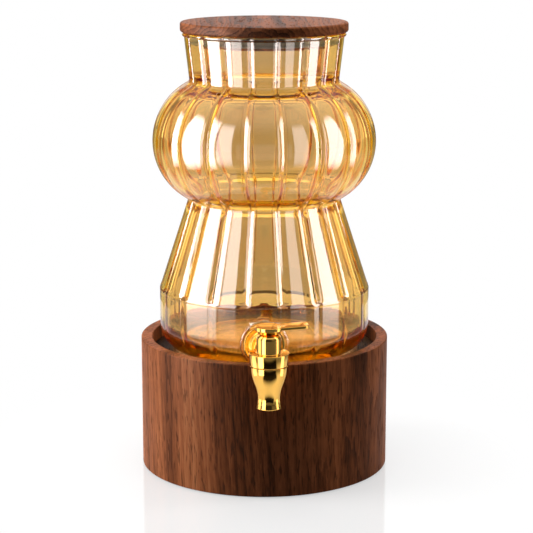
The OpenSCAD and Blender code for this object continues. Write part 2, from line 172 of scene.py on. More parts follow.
def lathe_tree():
    tree = bpy.data.node_groups.new("lathe", "GeometryNodeTree")
    for name, kind in (("Outline", "NodeSocketGeometry"), ("Columns", "NodeSocketInt"),
                       ("Flutes", "NodeSocketFloat"), ("Groove Depth", "NodeSocketFloat"),
                       ("Crease Angle", "NodeSocketFloat"), ("Finish", "NodeSocketMaterial")):
        tree.interface.new_socket(name=name, in_out="INPUT", socket_type=kind)
    tree.interface.new_socket(name="Piece", in_out="OUTPUT", socket_type="NodeSocketGeometry")
    make = Wire(tree).node
    given = make("NodeGroupInput")
    outline = given.out("Outline")

    rows = make("GeometryNodeAttributeDomainSize", {"component": "MESH"}, {"Geometry": outline})
    grid = make("GeometryNodeMeshGrid", None,
                {"Size X": 1.0, "Size Y": 1.0, "Vertices X": given.out("Columns") + 1, "Vertices Y": rows})
    place = make("GeometryNodeInputPosition")
    across = make("ShaderNodeSeparateXYZ", None, {0: place})
    turn = across.out("X") + 0.5
    row = ((across.out("Y") + 0.5) * (rows - 1)).maths("ROUND", (across.out("Y") + 0.5) * (rows - 1))

    point = make("GeometryNodeSampleIndex", {"data_type": "FLOAT_VECTOR"},
                 {"Geometry": outline, "Value": place, "Index": row})
    weight = make("GeometryNodeInputNamedAttribute", {"data_type": "FLOAT"}, {"Name": "groove"})
    weight = make("GeometryNodeSampleIndex", {"data_type": "FLOAT"},
                  {"Geometry": outline, "Value": weight, "Index": row})
    profile = make("ShaderNodeSeparateXYZ", None, {0: point})

    share = (turn * given.out("Flutes") + 0.5)
    share = share.maths("FRACT", share) - 0.5
    from_groove = 0.5 - share.maths("ABSOLUTE", share)
    narrow = (from_groove / GROOVE_SHARE) ** 2 * -1
    groove = narrow.maths("EXPONENT", narrow) * GROOVE_SHARP + (1 - 2 * from_groove) ** 2 * (1 - GROOVE_SHARP)
    radius = profile.out("X") - groove * weight * given.out("Groove Depth")

    angle = turn * math.tau - math.pi / 2
    spun = make("ShaderNodeCombineXYZ", None,
                {"X": radius * angle.maths("COSINE", angle), "Y": radius * angle.maths("SINE", angle),
                 "Z": profile.out("Z")})
    shape = make("GeometryNodeSetPosition", None, {"Geometry": grid, "Position": spun})
    shape = make("GeometryNodeMergeByDistance", None, {"Geometry": shape, "Distance": 1e-6})
    shape = make("GeometryNodeSetShadeSmooth", {"domain": "FACE"}, {"Geometry": shape})
    bend = make("GeometryNodeInputMeshEdgeAngle")
    sharp = make("FunctionNodeCompare", {"operation": "GREATER_THAN"},
                 {0: bend, 1: given.out("Crease Angle")})
    shape = make("GeometryNodeSetShadeSmooth", {"domain": "EDGE"},
                 {"Geometry": shape, "Selection": sharp, "Shade Smooth": False})
    shape = make("GeometryNodeRealizeInstances", None, {"Geometry": shape})
    shape = make("GeometryNodeSetMaterial", None, {"Geometry": shape, "Material": given.out("Finish")})
    make("NodeGroupOutput", None, {"Piece": shape})
    return tree


LATHE = lathe_tree()
print("lathe tree", len(LATHE.nodes), "nodes")

# %% [markdown]
# A piece is made by handing the tree an outline as loose points, setting the tree's inputs by their
# identifiers, and taking the result as a plain mesh. The normals are recalculated on the closed shell,
# so that they point out of the material.

# %% Turning a piece
CREASE = math.radians(38)


def put_in_scene(name, mesh):
    piece = bpy.data.objects.new(name, mesh)
    bpy.context.scene.collection.objects.link(piece)
    return piece


def evaluated_mesh(piece, name):
    graph = bpy.context.evaluated_depsgraph_get()
    mesh = bpy.data.meshes.new_from_object(piece.evaluated_get(graph))
    mesh.name = name
    return mesh


def face_outwards(mesh):
    shell = bmesh.new()
    shell.from_mesh(mesh)
    bmesh.ops.recalc_face_normals(shell, faces=shell.faces)
    if shell.calc_volume(signed=True) < 0:
        bmesh.ops.reverse_faces(shell, faces=shell.faces)
    shell.to_mesh(mesh)
    shell.free()


def turned(name, outline, finish, columns=128, place=Matrix.Identity(4), grooves=None, flutes=18, depth=0.0):
    """A mesh turned from an outline of (radius, height) points in millimetres."""
    points = bpy.data.meshes.new(name + ".outline")
    points.from_pydata([(r * MM, 0, z * MM) for r, z in outline], [], [])
    weights = points.attributes.new("groove", "FLOAT", "POINT")
    weights.data.foreach_set("value", grooves or [0.0] * len(outline))
    blank = put_in_scene(name + ".blank", points)
    lathe = blank.modifiers.new("lathe", "NODES")
    lathe.node_group = LATHE
    given = {"Columns": columns, "Flutes": float(flutes), "Groove Depth": depth * MM,
             "Crease Angle": CREASE, "Finish": finish}
    for item in LATHE.interface.items_tree:
        if item.in_out == "INPUT" and item.name in given:
            lathe[item.identifier] = given[item.name]
    mesh = evaluated_mesh(blank, name)
    bpy.data.objects.remove(blank)
    mesh.materials.clear()
    mesh.materials.append(finish)
    mesh.polygons.foreach_set("material_index", [0] * len(mesh.polygons))
    face_outwards(mesh)
    mesh.transform(place)
    return mesh


def joined(name, *meshes):
    """Several meshes as one piece."""
    whole = bmesh.new()
    for mesh in meshes:
        whole.from_mesh(mesh)
    piece = bpy.data.meshes.new(name)
    whole.to_mesh(piece)
    whole.free()
    for material in meshes[0].materials:
        piece.materials.append(material)
    return piece


def arc(centre_r, centre_z, radius, start, end, steps=6):
    """Points of an arc in an outline, with its angles in degrees from straight out."""
    turns = [math.radians(start + (end - start) * i / steps) for i in range(steps + 1)]
    return [(centre_r + radius * math.cos(a), centre_z + radius * math.sin(a)) for a in turns]


def corners(points, radius, steps=5):
    """A closed outline with every corner rounded, and its first point repeated at the end."""
    rounded = []
    count = len(points)
    for i, corner in enumerate(points):
        here = Vector(corner)
        before = Vector(points[i - 1]) - here
        after = Vector(points[(i + 1) % count]) - here
        half = before.angle(after) / 2
        reach = min(radius / math.tan(half), before.length * 0.45, after.length * 0.45)
        start = here + before.normalized() * reach
        end = here + after.normalized() * reach
        for k in range(steps + 1):
            t = k / steps
            rounded.append(tuple(start * (1 - t) ** 2 + here * 2 * t * (1 - t) + end * t ** 2))
    return rounded + rounded[:1]


def finished(name, mesh, body, slot, *nodes):
    """Put a piece in the scene, on its body, in the place of its solids."""
    piece = put_in_scene(name, mesh)
    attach(piece, body)
    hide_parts(*nodes)
    mesh.calc_loop_triangles()
    print(name, len(mesh.loop_triangles), "triangles on", body)
    return piece


print("turning tools ready")

# %% [markdown]
# ## Walnut
#
# The drum and the lid are dark walnut: warm brown with near-black streaks, short open pores and a
# semi-matt oil finish. A flat wood picture would not meet at the edges, so the pattern is solid, as in
# a real log: rings round an axis, wobbled by noise that is drawn out along the grain. Each piece gets
# its own log axis: upright for the drum, front to back for the shelf and the lid. Painted light and
# shade change the tone from one side to the other: the drum is darker to its right as painted shade,
# the lid lighter to its right as painted light. Inside a given radius a painted shade darkens the wall
# of the drum's recess, and on the shelf a painted light makes the wood paler under the glass than at
# its rim, which stays dark as painted shade.

# %% Walnut finish
WALNUT_STOPS = [(0.0, (0.020, 0.0065, 0.0025)), (0.28, (0.085, 0.025, 0.0085)),
                (0.52, (0.195, 0.058, 0.020)), (0.76, (0.300, 0.094, 0.034)), (1.0, (0.420, 0.150, 0.058))]
# Tones of the shelf: the pale end shows only under the glass, as painted light, the dark end at its rim, as
# painted shade.
SHELF_STOPS = [(0.0, (0.012, 0.005, 0.002)), (0.45, (0.140, 0.068, 0.028)), (1.0, (0.500, 0.325, 0.160))]
PORE_COLOUR = (0.020, 0.009, 0.005, 1)


def new_material(name):
    material = bpy.data.materials.new(name)
    material.use_nodes = True
    return material, material.node_tree.nodes["Principled BSDF"], Wire(material.node_tree)


def noise(start, coords, stretch, scale, detail=4.0, roughness=0.55, distortion=0.0):
    """Noise on coordinates that are stretched first, so that it can run along a grain."""
    drawn = start.node("ShaderNodeVectorMath", {"operation": "MULTIPLY"}, {0: coords, 1: stretch})
    return start.node("ShaderNodeTexNoise", None,
                      {"Vector": drawn, "Scale": scale, "Detail": detail, "Roughness": roughness,
                       "Distortion": distortion})


def walnut(name, log_turn, log_centre, shade, ring_mm, rings, pits, painted_side_shading=0.0, painted_shading=None, gloss=0.05,
           stops=WALNUT_STOPS):
    """Solid walnut cut from a log: its tone, its rings and pores, and painted light and shade over it."""
    material, shader, start = new_material(name)
    coords = start.node("ShaderNodeTexCoord", None, None, "Object")
    log = start.node("ShaderNodeMapping", None,
                     {"Vector": coords, "Location": log_centre, "Rotation": log_turn})
    along = start.node("ShaderNodeSeparateXYZ", None, {0: log})

    drift = noise(start, log, (1, 1, 0.10), 22, 3) - 0.5
    waver = noise(start, log, (1, 1, 0.06), 90, 4) - 0.5
    radius = (along.out("X") ** 2 + along.out("Y") ** 2) ** 0.5 + drift * 0.030 + waver * 0.006
    ring = radius / (ring_mm * MM)
    late = ring.maths("FRACT", ring) ** 2.2
    streak = noise(start, log, (1, 1, 0.045), 48, 5, 0.62)
    fibre = noise(start, log, (1, 1, 0.070), 760, 3, 0.6)
    pores = noise(start, log, (1, 1, 0.130), 620, 2, 0.5)
    pore = pores.fade(0.55, 0.68)

    across = start.node("ShaderNodeSeparateXYZ", None, {0: coords})
    tone = streak.fade(0.28, 0.74) * 0.58 - late * rings + (fibre - 0.5) * 0.70
    # Painted light and shade across the piece: the tone rises or falls along X, from one side to the other.
    tone = tone + shade - across.out("X") * painted_side_shading
    # Painted light and shade inside a radius: a darker recess wall on the drum, paler wood under the glass on
    # the shelf.
    if painted_shading:
        radius_low, radius_high, change = painted_shading
        reach = (across.out("X") ** 2 + across.out("Y") ** 2) ** 0.5
        tone = tone + (1 - reach.fade(radius_low, radius_high)) * change
    colour = start.node("ShaderNodeValToRGB", {"stops": stops}, {"Fac": tone})
    colour = (pore * pits).mix(colour, PORE_COLOUR)
    relief = fibre * 0.35 - pore * 0.65 - late * 0.2
    bump = start.node("ShaderNodeBump", None, {"Strength": 0.22, "Distance": 0.0004, "Height": relief})
    start.feed(shader.inputs["Base Color"], colour)
    start.feed(shader.inputs["Roughness"], 0.46 + pore * 0.25 + (fibre - 0.5) * 0.20)
    start.feed(shader.inputs["Normal"], bump)
    shader.inputs["Specular IOR Level"].default_value = gloss
    return material


lying = math.radians(90)
# The drum is painted darker towards its right side and on the wall of its recess, both painted shade.
drum_walnut = walnut("walnut_drum", (0.05, 0.03, 0), (0.31, -0.16, 0.05), shade=0.34, ring_mm=5.5,
                     rings=0.22, pits=0.62, painted_side_shading=1.2, painted_shading=(0.0862, 0.0872, -0.42))
# The shelf's wood is painted paler under the glass as painted light, and dark at its rim as painted shade.
shelf_walnut = walnut("walnut_shelf", (lying, 0, 0.30), (0.020, 0.05, 0.0), shade=-0.34, ring_mm=6.0,
                      rings=0.15, pits=0.50, painted_shading=(0.063, 0.076, 0.95), stops=SHELF_STOPS)
# The lid is painted lighter towards its right side, as painted light.
lid_walnut = walnut("walnut_lid", (lying, 0, 0.04), (-0.010, 0.304, 0.0), shade=0.33, ring_mm=3.4,
                    rings=0.36, pits=0.12, painted_side_shading=-1.0, gloss=0.10)
print("walnut finishes made")

# %% [markdown]
# ## Amber glass
#
# Straight through one wall the glass is a pale champagne, and along the ribs and the outline, where
# light travels far inside the wall, it turns to deep gold. A surface colour alone could not do that, so
# most of the tint is an absorption inside a refracting shell. A faint tint of the surface warms each
# crossing, a small metallic share gives the thin lustre of coated glass, and a very weak ripple stands
# for the hand-blown surface.

# %% Glass finish
TINT_PALE, TINT_DEEP = (1.0, 0.842, 0.79, 1), (1.0, 0.802, 0.73, 1)
LUSTRE_SHARE, GLASS_IOR = 0.05, 1.5
ABSORB_COLOUR, ABSORB_DENSITY = (0.982, 0.87, 0.0, 1), 170.0


def amber_glass():
    material, shader, start = new_material("amber_glass")
    coords = start.node("ShaderNodeTexCoord", None, None, "Object")
    ripple = noise(start, coords, (1, 1, 0.5), 34, 2)
    tint = noise(start, coords, (1, 1, 1), 14, 2).fade(0.3, 0.7)
    bump = start.node("ShaderNodeBump", None, {"Strength": 0.12, "Distance": 0.0012, "Height": ripple})
    start.feed(shader.inputs["Base Color"], tint.mix(TINT_PALE, TINT_DEEP))
    start.feed(shader.inputs["Roughness"], ripple * 0.012)
    start.feed(shader.inputs["Normal"], bump)
    shader.inputs["Transmission Weight"].default_value = 1.0
    shader.inputs["IOR"].default_value = GLASS_IOR
    shader.inputs["Metallic"].default_value = LUSTRE_SHARE
    absorb = start.node("ShaderNodeVolumeAbsorption", None,
                        {"Color": ABSORB_COLOUR, "Density": ABSORB_DENSITY})
    end = material.node_tree.nodes["Material Output"]
    start.feed(end.inputs["Volume"], absorb)
    return material


amber = amber_glass()
print("glass finish made")

# %% [markdown]
# ## Gold, steel, rubber and silicone
#
# The tap is plated and polished like a mirror, so nearly all of its look is what it reflects; faint
# polishing marks and a slight change of tone keep it from looking like a plain colour. The nut and the
# small hardware are brushed steel, the washers black rubber, the gasket clear silicone.

# %% Metal and rubber finishes
def gold_plate():
    material, shader, start = new_material("polished_gold")
    coords = start.node("ShaderNodeTexCoord", None, None, "Object")
    cloud = noise(start, coords, (1, 1, 1), 160, 3)
    marks = noise(start, coords, (1, 1, 14), 900, 2)
    tone = cloud.fade(0.3, 0.7).mix((0.88, 0.49, 0.105, 1), (0.92, 0.53, 0.120, 1))
    bump = start.node("ShaderNodeBump", None, {"Strength": 0.02, "Distance": 0.0002, "Height": marks})
    start.feed(shader.inputs["Base Color"], tone)
    start.feed(shader.inputs["Roughness"], 0.045 + cloud * 0.05)
    start.feed(shader.inputs["Normal"], bump)
    shader.inputs["Metallic"].default_value = 1.0
    return material


def plain_finish(name, dark, light, roughness, metallic=0.0, grain=(1, 1, 1), scale=300.0, strength=0.08):
    """A finish of two close tones with a fine relief."""
    material, shader, start = new_material(name)
    coords = start.node("ShaderNodeTexCoord", None, None, "Object")
    speck = noise(start, coords, grain, scale, 3)
    start.feed(shader.inputs["Base Color"], speck.fade(0.3, 0.7).mix((*dark, 1), (*light, 1)))
    start.feed(shader.inputs["Roughness"], roughness + (speck - 0.5) * 0.2)
    bump = start.node("ShaderNodeBump", None, {"Strength": strength, "Distance": 0.0002, "Height": speck})
    start.feed(shader.inputs["Normal"], bump)
    shader.inputs["Metallic"].default_value = metallic
    return material


gold = gold_plate()
steel = plain_finish("brushed_steel", (0.50, 0.50, 0.51), (0.66, 0.66, 0.67), 0.28, 1.0, (1, 1, 18), 500)
rubber = plain_finish("black_rubber", (0.010, 0.010, 0.011), (0.022, 0.022, 0.023), 0.62)
slip = plain_finish("slip_plastic", (0.66, 0.64, 0.60), (0.76, 0.74, 0.70), 0.42)
silicone = plain_finish("clear_silicone", (0.13, 0.15, 0.21), (0.19, 0.21, 0.29), 0.30, scale=120)
clear_inputs = silicone.node_tree.nodes["Principled BSDF"].inputs
clear_inputs["Transmission Weight"].default_value, clear_inputs["IOR"].default_value = 0.45, 1.41
print("metal and rubber finishes made")

# %% [markdown]
# ## The drum
#
# The base is a turned drum with a recess in its top. A shelf drops onto a ledge inside it, and a thin
# rubber ring keeps it from sliding. Its arrises are eased by less than a millimetre, and that thin
# rounding is what draws the bright line along the rim, so the outline has it as real geometry.

# %% Drum, shelf and pad
BASE_R, BASE_H, PAD_T = 95.0, 101.0, 1.0
RECESS_R, SHELF_Z, SHELF_T, LEDGE_W = 86.5, 91.0, 8.0, 5.0
SHELF_GAP, EASE = 0.1, 0.8
PAD_IN_R, PAD_OUT_R = 84.25, 92.25


def ring_line(inner_r, outer_r, low, high, ease, parts):
    """Outline of a flat ring with rounded edges."""
    return corners([(inner_r, low), (outer_r, low), (outer_r, high), (inner_r, high)], ease, parts)


drum_line = corners([(RECESS_R - LEDGE_W, PAD_T), (BASE_R, PAD_T), (BASE_R, BASE_H), (RECESS_R, BASE_H),
                     (RECESS_R, SHELF_Z - SHELF_T), (RECESS_R - LEDGE_W, SHELF_Z - SHELF_T)], EASE)
drum = finished("drum", turned("drum", drum_line, drum_walnut, 256), "stand", "walnut", "base_ring")

shelf_r = RECESS_R - SHELF_GAP
shelf_line = [(0, SHELF_Z - SHELF_T), (shelf_r - EASE, SHELF_Z - SHELF_T)]
shelf_line += arc(shelf_r - EASE, SHELF_Z - SHELF_T + EASE, EASE, -90, 0)
shelf_line += arc(shelf_r - EASE, SHELF_Z - EASE, EASE, 0, 90) + [(0, SHELF_Z)]
finished("shelf", turned("shelf", shelf_line, shelf_walnut, 192), "stand", "walnut", "base_shelf")

pad_line = ring_line(PAD_IN_R, PAD_OUT_R, 0, PAD_T, 0.3, 3)
finished("pad", turned("pad", pad_line, rubber, 192), "stand", "black_rubber", "base_pad")

# %% [markdown]
# ## The fluted vessel
#
# The glass is blown into a ribbed mould: eighteen broad lobes with narrow grooves run from the rim over
# the bulb and the cone, and leave only a faint wave on the band below the shoulder. The outline is a
# few simple curves with soft blends: a foot radius, the band, a leaning cone, a round bulb and a flared
# neck. The inner wall lies one thickness inside, and the glass is thicker at the waist and at the root
# of the neck, where the mould draws in. Below the neck each groove pushes the inner wall in further than
# the outer one, so the glass is thicker along it and bends the light there. The neck is smooth inside.

# %% Outline of the glass
BAND_R, GLASS_H, GLASS_T, FLOOR_T = 80.3, 243.0, 3.5, 7.0
FOOT_R, PUNT, REST_W = 21.0, 2.0, 9.0
SHOULDER_H, CONE_LEAN = 48.5, 18.0
BULB_R, BULB_H, BULB_ARC = 84.7, 161.3, 49.3
NECK_R, NECK_H, NECK_FLARE = 56.7, 209.0, 6.6
WAIST_BLEND, NECK_BLEND, SHOULDER_BLEND = 3.5, 4.0, 1.0
RIM_H, RIM_PROUD, RIM_ROUND, RIDGE, RIDGE_W = 3.4, 1.0, 1.4, 0.25, 1.1
WAIST_H, ROOT_H, CREASE_T, CREASE_W = 117.5, 206.0, 2.0, 4.5
FLUTES, FLUTE_DEPTH, FLUTE_FADE = 18, 1.9, 1.6
INNER_SHARE, BAND_SHARE, RIM_SHARE, WAVE_LOW, WAVE_RISE = 1.75, 0.2, 0.6, 4.0, 12.0


def soft_max(a, b, reach):
    return max(a, b) + max(reach - abs(a - b), 0) ** 2 / (4 * reach)


def soft_min(a, b, reach):
    return -soft_max(-a, -b, reach)


def side(h):
    """Outer radius of the glass at a height above the shelf."""
    bulb = BULB_R - BULB_ARC + math.sqrt(max(BULB_ARC ** 2 - (h - BULB_H) ** 2, 0))
    if h < BULB_H:
        cone = BAND_R - (h - SHOULDER_H) * math.tan(math.radians(CONE_LEAN))
        ridge = RIDGE * math.exp(-((h - SHOULDER_H) / RIDGE_W) ** 2)
        return soft_max(soft_min(BAND_R, cone, SHOULDER_BLEND), bulb, WAIST_BLEND) + ridge
    return soft_max(NECK_R + (h - NECK_H) * math.tan(math.radians(NECK_FLARE)), bulb, NECK_BLEND)


def inside(h):
    """The point of the inner wall one thickness in from the outline, with more glass at the creases."""
    slope = (side(h + 0.05) - side(h - 0.05)) / 0.1
    length = math.hypot(1, slope)
    crease = sum(math.exp(-((h - place) / CREASE_W) ** 2) for place in (WAIST_H, ROOT_H))
    thick = GLASS_T + CREASE_T * crease
    return side(h) - thick / length, h + thick * slope / length


def flute_weight(h):
    """Share of the flutes' depth at a height: none at the foot, a wave on the band, all on the cone."""
    t = min(1, max(0, (h - SHOULDER_H) / (2 * FLUTE_FADE)))
    low = min(1, max(0, (h - WAVE_LOW) / WAVE_RISE))
    return BAND_SHARE * low + (1 - BAND_SHARE) * t * t * (3 - 2 * t)


def steps(low, high, gap):
    """Heights from low to high, about one gap apart."""
    count = max(1, round((high - low) / gap))
    return [low + (high - low) * i / count for i in range(count + 1)]


# Rows lie close together where the outline bends.
waist_h, crown_h = BULB_H - BULB_ARC, BULB_H + BULB_ARC
heights = steps(FOOT_R, SHOULDER_H - 6, 3.5)[1:] + steps(SHOULDER_H - 5, SHOULDER_H + 5, 0.5)
heights += steps(SHOULDER_H + 8, waist_h - 12, 4.5) + steps(waist_h - 9, waist_h + 14, 1.1)
heights += steps(waist_h + 16, crown_h - 12, 2.0) + steps(crown_h - 10.5, crown_h + 6, 1.1)
heights += steps(crown_h + 9, GLASS_H - RIM_H, 3.5)

rest_r = BAND_R - FOOT_R
rim_r = NECK_R + (GLASS_H - NECK_H) * math.tan(math.radians(NECK_FLARE))
mouth_r = rim_r - GLASS_T / math.cos(math.radians(NECK_FLARE))
outer = [(0, PUNT), (20, PUNT), (38, PUNT), (rest_r - REST_W - 3, PUNT), (rest_r - REST_W - 1.2, 1.5),
         (rest_r - REST_W, 0.5), (rest_r - REST_W + 1.5, 0), (rest_r - 3, 0)]
outer += arc(rest_r, FOOT_R, FOOT_R, -90, 0, 14) + [(side(h), h) for h in heights]
bead = [(rim_r + RIM_PROUD * 0.55, GLASS_H - RIM_H * 0.85), (rim_r + RIM_PROUD, GLASS_H - RIM_H * 0.62)]
bead += [(rim_r + RIM_PROUD, GLASS_H - RIM_H * 0.45)]
rim_mid, rim_half = (rim_r + RIM_PROUD + mouth_r) / 2, (rim_r + RIM_PROUD - mouth_r) / 2
bead += [(rim_mid + rim_half * math.cos(math.radians(a)),
          GLASS_H - RIM_ROUND + RIM_ROUND * math.sin(math.radians(a))) for a in range(0, 181, 15)]
inner_foot = FOOT_R - GLASS_T
# The inner wall is kept only where it goes down from row to row, so that it can't fold over itself.
inner = []
for r, z in (inside(h) for h in reversed(heights) if h > FOOT_R + 4):
    if not inner or z < inner[-1][1] - 0.2:
        inner.append((r, z))
inner += arc(rest_r, FLOOR_T + inner_foot, inner_foot, 0, -90, 12)
inner += [(rest_r - 6, FLOOR_T), (40, FLOOR_T - 0.4), (20, FLOOR_T - 0.7), (0, FLOOR_T - 0.8)]
glass_line = outer + bead + inner
weights = [flute_weight(h) for _, h in outer] + [RIM_SHARE] * len(bead)
weights += [flute_weight(h) * INNER_SHARE * (h < crown_h) for _, h in inner]
print("glass outline", len(glass_line), "points")

# %% [markdown]
# The boss is a short glass cylinder fused to the band, drilled for the shank, with a flat seat inside
# for the washer. These are true unions and cuts, so they are Boolean modifiers on the spun shell; a
# separate disc laid over it would show a false surface inside the glass. The glass casts no shadow, so
# that the lamps reach the shelf under it as they do through clear glass.

# %% Vessel with its boss and hole
TAP_Z, TAP_YAW, FACE_R = 113.0, 6.5, 81.8
BOSS_D, BOSS_T, BOSS_SINK, BOSS_EASE = 35.0, 5.0, 3.5, 0.8
HOLE_D, SEAT_D, HOLE_OUT = 17.0, 28.0, 5.0
COLUMNS_PER_FLUTE = 18
tap_frame = Matrix.Translation((0, -FACE_R * MM, TAP_Z * MM)) @ Matrix.Rotation(math.radians(TAP_YAW), 4, "Z")
# The lathe's axis is Z; along the tap it points outwards, to -Y.
tap_axis = tap_frame @ Matrix.Rotation(math.radians(90), 4, "X")


def bar(name, low, high, radius, ease=0.0):
    """A closed bar along the tap's axis, for joining to the glass or cutting it."""
    line = [(0, low), (radius, low), (radius, high - ease)]
    line += arc(radius - ease, high - ease, ease, 0, 90, 6) if ease else [(radius, high)]
    return put_in_scene(name, turned(name, line + [(0, high)], amber, 96, tap_axis))


shell = turned("vessel", [(r, z + SHELF_Z) for r, z in glass_line], amber, FLUTES * COLUMNS_PER_FLUTE,
               grooves=weights, flutes=FLUTES, depth=FLUTE_DEPTH)
blank = put_in_scene("vessel.blank", shell)
tools = [("UNION", bar("boss", -BOSS_SINK, 0, BOSS_D / 2, BOSS_EASE)),
         ("DIFFERENCE", bar("seat", -BOSS_D, -BOSS_T, SEAT_D / 2)),
         ("DIFFERENCE", bar("hole", -BOSS_D, HOLE_OUT, HOLE_D / 2))]
for action, tool in tools:
    cut = blank.modifiers.new(tool.name, "BOOLEAN")
    cut.operation, cut.solver, cut.object = action, "EXACT", tool
vessel_mesh = evaluated_mesh(blank, "vessel")
for spare in [blank] + [tool for _, tool in tools]:
    bpy.data.objects.remove(spare)
vessel = finished("vessel", vessel_mesh, "vessel", "amber_glass", "glass_vessel")
vessel.visible_shadow = False

# %% [markdown]
# ## The tap
#
# A dished flange hides the hole; behind it a black rubber ring seals on the boss. The barrel stands
# upright on the end of the shank, with a collar that the urn-shaped nozzle screws up to. All of it is
# turned brass, so the lathe makes each piece with small roundings that catch the light, and the two
# turned parts of the body simply run into each other as the soldered originals do.

# %% Flange and washers
WASHER_T, FLANGE_T, FLANGE_R, SHANK_R, HUB_R, DISH = 1.0, 1.5, 15.2, 8.0, 10.6, 0.6
WASHER_R, INNER_R, INNER_T, NUT_RING_R, NUT_RING_T, SHANK_PLAY = 14.6, 13.5, 2.0, 13.0, 1.0, 0.1
bore_r, face_u, dish_u = SHANK_R + SHANK_PLAY, WASHER_T + FLANGE_T, WASHER_T + FLANGE_T - DISH
ring_u = -BOSS_T - INNER_T
nut_u = ring_u - NUT_RING_T
flange_line = corners([(bore_r, WASHER_T), (FLANGE_R - 0.4, WASHER_T), (FLANGE_R, WASHER_T + 0.5),
                       (FLANGE_R - 0.2, face_u - 0.2), (FLANGE_R - 1.0, face_u), (FLANGE_R - 2.0, face_u),
                       (FLANGE_R - 3.0, dish_u), (HUB_R + 0.6, dish_u), (HUB_R, face_u),
                       (bore_r, face_u)], 0.35, 4)
flange_mesh = turned("flange", flange_line, gold, 128, tap_axis)
gold_pieces = [finished("flange", flange_mesh, "vessel", "gold", "tap_flange")]

# Each ring: name, outer radius, where it lies along the tap, rounding and its steps, finish, slot, solid
rings = [("flange_ring", WASHER_R, 0, WASHER_T, 0.3, 3, rubber, "black_rubber", "flange_washer"),
         ("inner_ring", INNER_R, ring_u, -BOSS_T, 0.4, 4, silicone, "silicone", "inner_washer"),
         ("nut_ring", NUT_RING_R, nut_u, ring_u, 0.25, 3, steel, "steel", "nut_washer")]
for name, ring_r, low, high, ease, parts, finish, slot, node in rings:
    ring_mesh = turned(name, ring_line(bore_r, ring_r, low, high, ease, parts), finish, 96, tap_axis)
    finished(name, ring_mesh, "vessel", slot, node)

# %% Barrel, collar and threaded shank
TAP_REACH, BARREL_R, BARREL_TOP, BARREL_ROUND = 30.04, 9.0, 16.3, 4.2
COLLAR_LOW, COLLAR_TOP, COLLAR_LOW_R, COLLAR_TOP_R = -6.8, 2.3, 13.95, 14.65
SPIGOT_R, SPIGOT_LOW, PLUG_R, STEM_R, BORE_TOP = 10.0, -15.0, 6.0, 4.05, 10.9
SHANK_BORE, SHANK_END, THREAD_PITCH, THREAD_DEPTH = 5.0, -17.0, 1.0, 0.45
HUB_T, STUB_R, STUB_GAP = 3.0, 7.4, 7.2
barrel_frame = tap_frame @ Matrix.Translation((0, -TAP_REACH * MM, 0))

barrel_line = [(PLUG_R, BORE_TOP), (PLUG_R, SPIGOT_LOW), (SPIGOT_R, SPIGOT_LOW), (SPIGOT_R, COLLAR_LOW)]
barrel_line += arc(COLLAR_LOW_R - 0.5, COLLAR_LOW + 0.5, 0.5, -90, 0)
barrel_line += arc(COLLAR_TOP_R - 0.6, COLLAR_TOP - 0.6, 0.6, 0, 90)
barrel_line += arc(BARREL_R + 0.5, COLLAR_TOP + 0.5, 0.5, 270, 180)
barrel_line += arc(BARREL_R - BARREL_ROUND, BARREL_TOP - BARREL_ROUND, BARREL_ROUND, 0, 90, 8)
barrel_line += [(STEM_R, BARREL_TOP), (STEM_R, BORE_TOP), (PLUG_R, BORE_TOP)]
barrel_mesh = turned("barrel", barrel_line, gold, 128, barrel_frame)

shank_line = [(SHANK_BORE, SHANK_END), (SHANK_R - THREAD_DEPTH, SHANK_END)]
for i in range(int((nut_u - SHANK_END) / THREAD_PITCH)):
    low = SHANK_END + i * THREAD_PITCH
    shank_line += [(SHANK_R - THREAD_DEPTH, low + 0.1), (SHANK_R, low + 0.4 * THREAD_PITCH),
                   (SHANK_R, low + 0.6 * THREAD_PITCH)]
shank_line += [(SHANK_R, face_u), (HUB_R - 0.4, face_u)] + arc(HUB_R - 0.4, face_u + 0.4, 0.4, -90, 0, 4)
hub_u, stub_u = face_u + HUB_T, TAP_REACH - STUB_GAP
shank_line += arc(HUB_R - 0.8, hub_u - 0.8, 0.8, 0, 90, 5) + arc(STUB_R + 0.5, hub_u + 0.5, 0.5, 270, 180, 4)
shank_line += [(STUB_R, stub_u), (SHANK_BORE, stub_u), (SHANK_BORE, SHANK_END)]
shank_mesh = turned("shank", shank_line, gold, 96, tap_axis)
tap_mesh = joined("tap_barrel", barrel_mesh, shank_mesh)
gold_pieces.append(finished("tap_barrel", tap_mesh, "vessel", "gold", "tap_body"))

# %% Nozzle
NOZZLE_TOP, NOZZLE_LOW, NOZZLE_TOP_R, NOZZLE_WAIST_R, NOZZLE_LIP_R = -7.1, -38.5, 13.7, 8.6, 9.6
TAPER_H, OUTLET_R, SOCKET_R, NOZZLE_FLOOR, THROAT_LOW, SWELL = 6.8, 6.5, 10.1, -15.8, -18.2, 1.25


def nozzle_radius(z):
    """Outer radius of the urn: a long swell down to the waist, then a short flare to the lip."""
    waist = NOZZLE_LOW + TAPER_H
    if z > waist:
        t = ((NOZZLE_TOP - z) / (NOZZLE_TOP - waist)) ** SWELL
        return NOZZLE_WAIST_R + (NOZZLE_TOP_R - NOZZLE_WAIST_R) * (1 + math.cos(math.pi * t)) / 2
    return NOZZLE_WAIST_R + (NOZZLE_LIP_R - NOZZLE_WAIST_R) * ((waist - z) / TAPER_H) ** 2


